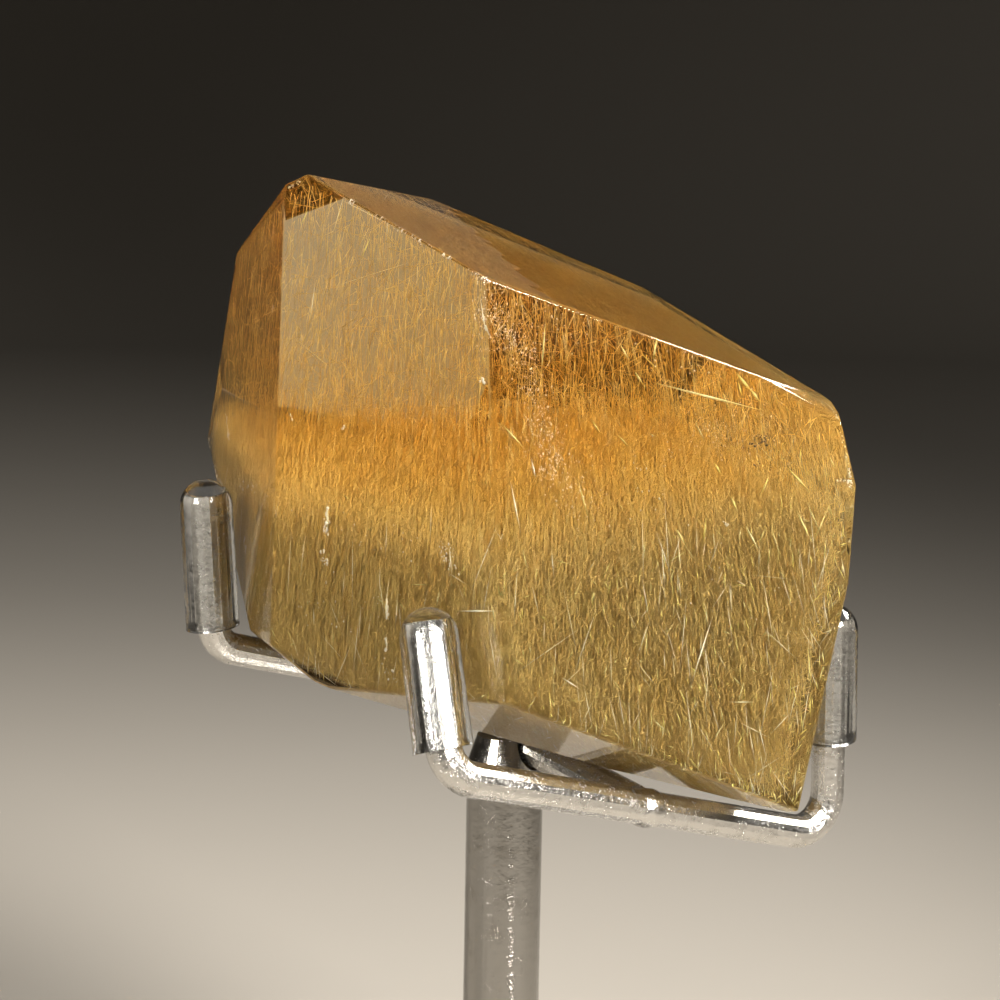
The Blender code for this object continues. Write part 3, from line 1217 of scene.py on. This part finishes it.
@dataclass
class Inclusions:
    """Everything inside the stone.

    Args:
        space: The stone's inside.
        fan_height: How far above the stone the needles fan out from, in metres.
        seam_left: Column, row and depth in mm of the clear corner's seam at its left end.
        seam_right: The same at its right end.
        seam_back: The same where it meets the top.
        past_seam: A place in the clear corner, given in the same way.
    """

    space: StoneSpace
    fan_height: float = 140.0 * MM
    seam_left: tuple[float, float, float] = (684, 515, 6.0)
    seam_right: tuple[float, float, float] = (850, 497, 3.0)
    seam_back: tuple[float, float, float] = (735, 330, 14.0)
    past_seam: tuple[float, float, float] = (800, 430, 4.0)

    def focus(self) -> Vector:
        """Return the point above the stone that the needles fan out from."""
        low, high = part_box("quartz")
        return Vector((0.0, (low.y + high.y) / 2, high.z + self.fan_height))

    def clear_corner(self) -> ClearCorner:
        """Place the clear corner by where its seam shows in the picture.

        Returns:
            The clear corner.
        """
        spots = (self.seam_left, self.seam_right, self.seam_back, self.past_seam)
        left, right, back, past = (self.space.seen_at(*spot) for spot in spots)
        normal = (right - left).cross(back - left).normalized()
        return ClearCorner(left, -normal if (past - left).dot(normal) < 0 else normal)

    def build(self) -> None:
        """Fill the stone."""
        corner, focus = self.clear_corner(), self.focus()
        haze = Rutile("rutile_haze", (0.67, 0.445, 0.095), (0.79, 0.585, 0.175), 0.0, 0.6, 0.5).build()
        thread = Rutile("rutile_thread", (0.62, 0.36, 0.08), (1.0, 0.88, 0.42), 0.3).build()
        # The splinters' near-white yellow is partly the rutile's own colour and partly painted glints; the
        # gold needles share it.
        splinter = Rutile("rutile_splinter_painted_glints", (1.0, 0.86, 0.24), (1.0, 0.98, 0.56), 0.15, 0.24).build()
        pale = Rutile("pale_rutile", (1.0, 0.95, 0.66), (1.0, 1.0, 0.90), 0.0, 0.30).build()
        one, both = NeedleShape.SPLINTER, NeedleShape.SPINDLE
        fine, felt, wide = (0.020, 0.034), (0.022, 0.038), (0.026, 0.050)
        swarms = (
            (haze, Swarm("haze_needles_1", 49000, fine, (1.5, 10.0), 14.0, 0.30, 3, one, 11)),
            (haze, Swarm("haze_needles_2", 49000, fine, (1.5, 10.0), 14.0, 0.30, 3, one, 12)),
            (haze, Swarm("haze_felt_1", 49000, felt, (1.2, 7.0), 40.0, 0.90, 3, one, 15)),
            (haze, Swarm("haze_felt_2", 40000, felt, (1.2, 7.0), 40.0, 0.90, 3, one, 17)),
            (thread, Swarm("thread_needles", 7000, wide, (2.0, 13.0), 12.0, 0.10, 3, both, 13, 0.6)),
            (pale, Swarm("pale_threads", 2400, wide, (1.5, 12.0), 26.0, 0.30, 4, both, 16,
                         0.3, 1.5, 0.6)),
            # They gather at the right and under the top, where the light falls: partly a real crowd of
            # needles, partly painted glints.
            (splinter, Swarm("splinters_painted_glints", 8000, (0.034, 0.076), (0.30, 3.2), 32.0, 0.4, 4, both, 14,
                             0.25, 1.2, 0.9)),
        )
        for finish, swarm in swarms:
            swarm.build(self.space, focus, corner, finish)
        SeenNeedles("gold_needles", GOLD_RUNS, (0.2, 0.7), 3).build(self.space, splinter)
        SeenNeedles("white_needles", WHITE_RUNS, (0.2, 0.7), 4).build(self.space, pale)
        white = Fleck("white_fleck", (0.80, 0.72, 0.56), (1.0, 0.97, 0.90)).build()
        veil = Fleck("pale_veil", (0.86, 0.70, 0.48), (1.0, 0.90, 0.74)).build()
        dark = Fleck("dark_smudge", (0.05, 0.04, 0.03), (0.16, 0.12, 0.08)).build()
        lay_crumbs("white_flecks", WHITE_FLECKS, self.space, 21, white)
        lay_crumbs("edge_chips", EDGE_CHIPS, self.space, 22, white)
        lay_crumbs("cloudy_veil", VEIL, self.space, 23, veil)
        lay_crumbs("dark_smudge", SMUDGE, self.space, 24, dark)


# The stand
@dataclass
class Sleeve:
    """A clear sleeve over a prong's tip.

    Args:
        prong: Which prong it covers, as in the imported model's names.
        slant: How far its open end is cut off square, in degrees.
        slant_turn: Which way the cut leans, in degrees about the prong.
        flare: How much wider its mouth is than its body.
        radius: Outer radius.
        bore: Inner radius, snug on the wire.
        tip_wall: Thickness of its closed tip.
        steps: Corners round it.
        ease: How much wider than the wire its bore is at the mouth.
        mouth_depth: How far up the bore the wider part reaches.
        taper: The height of the cone that ends the bore.
        tip_share: How wide the cone's tip is, as a share of the bore.
        dome_rings: Rings of faces up its domed tip.
        dome_turn: How far the dome is carried round towards its middle, in degrees.
    """

    prong: str
    slant: float
    slant_turn: float
    flare: float = 1.03
    radius: float = 2.42 * MM
    bore: float = 1.485 * MM
    tip_wall: float = 1.15 * MM
    steps: int = 56
    ease: float = 0.12 * MM
    mouth_depth: float = 0.9 * MM
    taper: float = 0.35 * MM
    tip_share: float = 0.6
    dome_rings: int = 9
    dome_turn: float = 86.0

    def axis(self) -> tuple[Vector, Vector, float]:
        """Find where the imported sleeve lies.

        Returns:
            Its open end, its direction to the tip and its length.
        """
        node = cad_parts[self.prong + "_sleeve"]
        places = np.array([v.co for v in node.data.vertices])
        middle = places.mean(axis=0)
        way = np.linalg.svd(places - middle, full_matrices=False)[2][0]
        way = way if way[2] > 0 else -way
        along = (places - middle) @ way
        return Vector(middle + way * along.min()), Vector(way), float(np.ptp(along))

    def build(self, finish: bpy.types.Material) -> None:
        """Draw a tube up into a dome, turn its wall inwards at the mouth and set it on its prong.

        Args:
            finish: Its material.
        """
        mouth, way, length = self.axis()
        deselect_everything()
        straight = length - self.radius
        bpy.ops.mesh.primitive_cylinder_add(vertices=self.steps, radius=self.radius, depth=straight,
                                            location=(0, 0, straight / 2))
        sleeve = bpy.context.object
        settle(sleeve)
        self._draw_dome(sleeve, straight)
        self._sink_bore(sleeve, length)
        self._cut_mouth(sleeve)
        turn = way.to_track_quat("Z", "Y").to_matrix().to_4x4()
        sleeve.matrix_world = Matrix.Translation(mouth) @ turn
        settle(sleeve)
        shade_round(sleeve, 50.0)
        dress(sleeve, finish)
        finish_piece(sleeve, self.prong + "_prong_sleeve", (self.prong + "_sleeve",))

    def _select_cap(self, sleeve: bpy.types.Object, upwards: bool) -> None:
        """Select the flat cap at one end.

        Args:
            sleeve: The sleeve.
            upwards: Whether it is the upper cap.
        """
        bpy.ops.object.mode_set(mode="EDIT")
        bpy.ops.mesh.select_mode(type="FACE")
        shape = bmesh.from_edit_mesh(sleeve.data)
        caps = [f for f in shape.faces if len(f.verts) > 4 and (f.normal.z > 0.9) == upwards]
        edge = max(caps, key=lambda f: f.calc_center_median().z if upwards else -f.calc_center_median().z)
        for face in shape.faces:
            face.select = face == edge
        bmesh.update_edit_mesh(sleeve.data)

    def _draw_dome(self, sleeve: bpy.types.Object, foot: float) -> None:
        """Extrude the closed end ring by ring into a dome.

        Args:
            sleeve: The sleeve.
            foot: The height that the dome starts from, in metres.
        """
        self._select_cap(sleeve, True)
        height, width = 0.0, self.radius
        for ring in range(1, self.dome_rings + 1):
            angle = math.radians(self.dome_turn) * ring / self.dome_rings
            rise, girth = self.radius * math.sin(angle), self.radius * math.cos(angle)
            self._push(rise - height, foot + rise, girth / width)
            height, width = rise, girth
        bpy.ops.object.mode_set(mode="OBJECT")

    def _sink_bore(self, sleeve: bpy.types.Object, length: float) -> None:
        """Inset the open end to the wall's thickness and push the bore up inside.

        Args:
            sleeve: The sleeve.
            length: Its length in metres.
        """
        self._select_cap(sleeve, False)
        bpy.ops.mesh.inset(thickness=self.radius - self.bore - self.ease)
        top = length - self.tip_wall
        self._push(self.mouth_depth, self.mouth_depth, self.bore / (self.bore + self.ease))
        self._push(top - self.mouth_depth - self.taper, 0.0, 1.0)
        self._push(self.taper, top, self.tip_share)
        bpy.ops.object.mode_set(mode="OBJECT")

    def _push(self, rise: float, height: float, share: float) -> None:
        """Extrude the selected cap upwards and scale it.

        Args:
            rise: How far up it goes, in metres.
            height: The height that it reaches, in metres.
            share: What its width is multiplied by.
        """
        bpy.ops.mesh.extrude_region_move(TRANSFORM_OT_translate={"value": (0, 0, rise)})
        if share != 1.0:
            bpy.ops.transform.resize(value=(share, share, 1.0), center_override=(0, 0, height))

    def _cut_mouth(self, sleeve: bpy.types.Object) -> None:
        """Lean the mouth's cut and flare it.

        Args:
            sleeve: The sleeve.
        """
        lean = math.tan(math.radians(self.slant))
        turn = math.radians(self.slant_turn)
        bpy.ops.object.mode_set(mode="EDIT")
        shape = bmesh.from_edit_mesh(sleeve.data)
        for corner in shape.verts:
            if corner.co.z < self.mouth_depth / 2:
                side = corner.co.x * math.cos(turn) + corner.co.y * math.sin(turn)
                corner.co.z += max(0.0, (side + self.radius) * lean)
                corner.co.x *= self.flare
                corner.co.y *= self.flare
        bmesh.update_edit_mesh(sleeve.data)
        bpy.ops.object.mode_set(mode="OBJECT")


@dataclass(frozen=True)
class WeldBead:
    """A lumpy bead of weld metal on a bar.

    Args:
        name: The piece's name.
        place: Its middle, in mm.
        way: The bar's direction.
        length: Its half length along the bar, in mm.
        girth: Its radius round the bar, in mm.
        seed: Start of its lumps.
    """

    name: str
    place: tuple[float, float, float]
    way: tuple[float, float, float]
    length: float
    girth: float
    seed: int

    def build(self, finish: bpy.types.Material) -> None:
        """Model the bead as a drawn-out ball with lumps pushed out of it.

        Args:
            finish: Its material.
        """
        deselect_everything()
        bpy.ops.mesh.primitive_uv_sphere_add(segments=40, ring_count=26, radius=1.0)
        bead = bpy.context.object
        edit_whole()
        bpy.ops.transform.vertex_random(offset=0.035, uniform=0.0, normal=1.0, seed=self.seed)
        bpy.ops.mesh.vertices_smooth(factor=0.4, repeat=1)
        bpy.ops.transform.resize(value=(self.girth * MM, self.girth * MM, self.length * MM),
                                 center_override=(0.0, 0.0, 0.0))
        bpy.ops.object.mode_set(mode="OBJECT")
        turn = Vector(self.way).to_track_quat("Z", "Y").to_matrix().to_4x4()
        bead.matrix_world = Matrix.Translation(Vector(self.place) * MM) @ turn
        settle(bead)
        bpy.ops.object.shade_smooth()
        dress(bead, finish)
        finish_piece(bead, self.name)


@dataclass(frozen=True)
class BlisterSeam:
    """A column of ring-shaped blisters in the plating down the post.

    Args:
        view: The picture's viewpoint.
        column: The picture column where they lie, in pixels.
        rows: The picture rows where they lie, in pixels.
        post_radius: The post's radius in mm.
        turn: How far round the post they lie from the viewer's side, in degrees.
        stray: How far they stray from their column, in pixels.
        size: Smallest and largest radius, in mm.
        lip: Thickness of the ring round each, in mm.
        sunk: How deep they sit in the plating, in mm.
    """

    view: Viewpoint
    column: float = 511.0
    rows: tuple[float, ...] = (838, 852, 855.5, 866, 882, 896, 900, 906, 912, 919, 930,
                               935, 941, 948, 954, 959, 965, 974, 978, 985, 991, 998)
    post_radius: float = 3.5
    turn: float = 15.0
    stray: float = 1.2
    size: tuple[float, float] = (0.18, 0.36)
    lip: float = 0.055
    sunk: float = 0.02

    def build(self, finish: bpy.types.Material) -> None:
        """Model each blister as a flat ring on the post.

        Args:
            finish: Their material.
        """
        rng = random.Random(9)
        angle = math.radians(self.turn)
        out = Vector((math.sin(angle), -math.cos(angle), 0.0))
        rings = []
        for row in self.rows:
            column = self.column + rng.uniform(-self.stray, self.stray)
            eye, sight = self.view.eye(), self.view.sight(column, row)
            surface = out * self.post_radius * MM
            place = geometry.intersect_line_plane(eye, eye + sight, surface, out)
            deselect_everything()
            size = rng.uniform(*self.size)
            bpy.ops.mesh.primitive_torus_add(major_segments=20, minor_segments=8,
                                             major_radius=size * MM, minor_radius=self.lip * MM)
            ring = bpy.context.object
            ring.scale = (1.0, rng.uniform(0.7, 1.0), 0.8)
            settle(ring)
            turn = out.to_track_quat("Z", "Y").to_matrix().to_4x4()
            ring.matrix_world = Matrix.Translation(place - out * self.sunk * MM) @ turn
            settle(ring)
            rings.append(ring)
        deselect_everything()
        for ring in rings:
            ring.select_set(True)
        bpy.context.view_layer.objects.active = rings[0]
        bpy.ops.object.join()
        seam = bpy.context.object
        bpy.ops.object.shade_smooth()
        dress(seam, finish)
        finish_piece(seam, "post_blisters")


@dataclass
class Stand:
    """The wires, the post and the base, with their welds and blisters.

    Args:
        view: The picture's viewpoint.
        middle: The cross bar's middle, in mm.
        along: The direction of the front and the rear bar.
        across: The cross bar's direction.
        half_spacing: From the cross bar's middle to either bar, in mm.
    """

    view: Viewpoint
    middle: tuple[float, float, float] = (0.9, 0.9, 52.6)
    along: tuple[float, float, float] = (0.786, 0.562, -0.2585)
    across: tuple[float, float, float] = (-0.55, 0.83, 0.087)
    half_spacing: float = 20.1

    def build(self) -> None:
        """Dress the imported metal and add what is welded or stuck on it."""
        wire = PlatedMetal("plated_wire", (0.74, 0.72, 0.68), (0.30, 0.27, 0.23), pit_depth=0.06).build()
        # The post's plating is coloured about half as bright as the wire's: painted shade standing in for
        # the dark surroundings that the post mirrors.
        rod = PlatedMetal("plated_post", (0.36, 0.345, 0.32), (0.22, 0.20, 0.17), 0.06, 0.16,
                          streaks=(1.0, 1.0, 0.06)).build()
        foot = PlatedMetal("plated_base", (0.78, 0.76, 0.73), smooth=0.16, rough=0.34).build()
        for name in ("front_wire", "rear_wire", "cross_bar"):
            dress(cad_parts[name], wire)
        dress(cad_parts["post"], rod)
        dress(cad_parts["base"], foot)
        vinyl = ClearVinyl().build()
        middle, across = Vector(self.middle), Vector(self.across)
        front, rear = middle - across * self.half_spacing, middle + across * self.half_spacing
        WeldBead("front_weld", tuple(front), self.along, 2.2, 1.72, 4).build(wire)
        WeldBead("rear_weld", tuple(rear), self.along, 2.4, 1.80, 6).build(wire)
        BlisterSeam(self.view).build(rod)
        for sleeve in (
            Sleeve("front", 5.0, 200.0),
            Sleeve("right", 3.0, 100.0),
            Sleeve("left", 4.0, 20.0),
            Sleeve("back", 4.0, 150.0),
        ):
            sleeve.build(vinyl)


# Floor and light
@dataclass(frozen=True)
class Softbox:
    """A large soft lamp.

    Args:
        name: Its name.
        place: Where it hangs, in metres.
        size: Its width and height in metres.
        power: Its power in watts.
        spread: How widely its grid lets light out, in degrees.
        colour: Its colour.
    """

    name: str
    place: tuple[float, float, float]
    size: tuple[float, float]
    power: float
    spread: float
    colour: tuple[float, float, float] = (1.0, 0.96, 0.90)

    def hang(self, target: Vector) -> None:
        """Add the lamp.

        Args:
            target: The point that it faces, in metres.
        """
        data = bpy.data.lights.new(self.name, "AREA")
        data.shape = "RECTANGLE"
        data.size, data.size_y = self.size
        data.energy = self.power
        data.color = self.colour
        data.spread = math.radians(self.spread)
        lamp = bpy.data.objects.new(self.name, data)
        bpy.context.scene.collection.objects.link(lamp)
        lamp.location = self.place
        lamp.rotation_mode = "QUATERNION"
        lamp.rotation_quaternion = (target - Vector(self.place)).to_track_quat("-Z", "Y")


@dataclass
class Studio:
    """A pale floor that curves up into walls, under soft lamps.

    Args:
        floor_radius: From the middle to the wall, in metres.
        wall_height: How high the wall is, in metres.
        sweep: How far the curve between them reaches, in metres.
        sink: How far the floor lies under the base, in metres.
        sky: The sky's colour.
        sky_strength: How bright it is.
        lamps: The soft lamps.
    """

    floor_radius: float = 1.5
    wall_height: float = 0.42
    sweep: float = 0.40
    sink: float = 0.02 * MM
    sky: tuple[float, float, float] = (1.0, 0.93, 0.82)
    sky_strength: float = 0.10
    lamps: tuple[Softbox, ...] = (
        Softbox("key_softbox", (0.33, -0.37, 0.36), (0.22, 0.22), 1.7, 56.0),
        Softbox("fill_softbox", (-0.38, -0.40, 0.27), (0.20, 0.16), 1.2, 80.0),
        Softbox("rim_strip", (0.383, 0.155, 0.397), (0.36, 0.16), 0.6, 50.0),
    )

    def build(self) -> None:
        """Lay the floor, hang the lamps and set the sky."""
        self._lay_floor()
        low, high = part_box("quartz")
        for lamp in self.lamps:
            lamp.hang((low + high) / 2)
        self._set_sky()

    def _lay_floor(self) -> None:
        """Open a flat drum upwards and sweep its floor up into its wall."""
        deselect_everything()
        bpy.ops.mesh.primitive_cylinder_add(vertices=96, radius=self.floor_radius, depth=self.wall_height,
                                            location=(0, 0, self.wall_height / 2 - self.sink))
        floor = bpy.context.object
        settle(floor)
        bpy.ops.object.mode_set(mode="EDIT")
        shape = bmesh.from_edit_mesh(floor.data)
        lid = [f for f in shape.faces if f.normal.z > 0.9]
        bmesh.ops.delete(shape, geom=lid, context="FACES_ONLY")
        for edge in shape.edges:
            edge.select = all(corner.co.z < 0.01 for corner in edge.verts)
        bmesh.update_edit_mesh(floor.data)
        bpy.ops.mesh.select_mode(type="EDGE")
        bpy.ops.mesh.bevel(offset=self.sweep, segments=24, affect="EDGES")
        bpy.ops.mesh.select_all(action="SELECT")
        bpy.ops.mesh.flip_normals()
        bpy.ops.object.mode_set(mode="OBJECT")
        shade_round(floor, 60.0)
        floor.name = "floor"
        dress(floor, PalePaper().build())

    def _set_sky(self) -> None:
        """Set the sky, the picture's tones and how far light is followed."""
        world = bpy.data.worlds.new("studio")
        bpy.context.scene.world = world
        world.use_nodes = True
        backdrop = world.node_tree.nodes["Background"]
        backdrop.inputs["Color"].default_value = (*self.sky, 1.0)
        backdrop.inputs["Strength"].default_value = self.sky_strength
        bpy.context.scene.view_settings.view_transform = "Standard"
        paths = bpy.context.scene.cycles
        paths.use_light_tree = False
        paths.max_bounces = 8
        paths.diffuse_bounces = 2
        paths.glossy_bounces = 3
        paths.transmission_bounces = 8


def main() -> None:
    """Build the studio, the stone and the stand in order."""
    logging.basicConfig(level=logging.INFO, format="%(name)s %(message)s")
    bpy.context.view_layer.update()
    view = Viewpoint()
    view.add_camera()
    facets = tuple(read_facets(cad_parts["quartz"]))
    log.info("flats: %d", len(facets))
    space = StoneSpace(facets, view)
    Stone(space).build()
    Inclusions(space).build()
    Stand(view).build()
    Studio().build()
    deselect_everything()


if __name__ == "__main__":
    main()
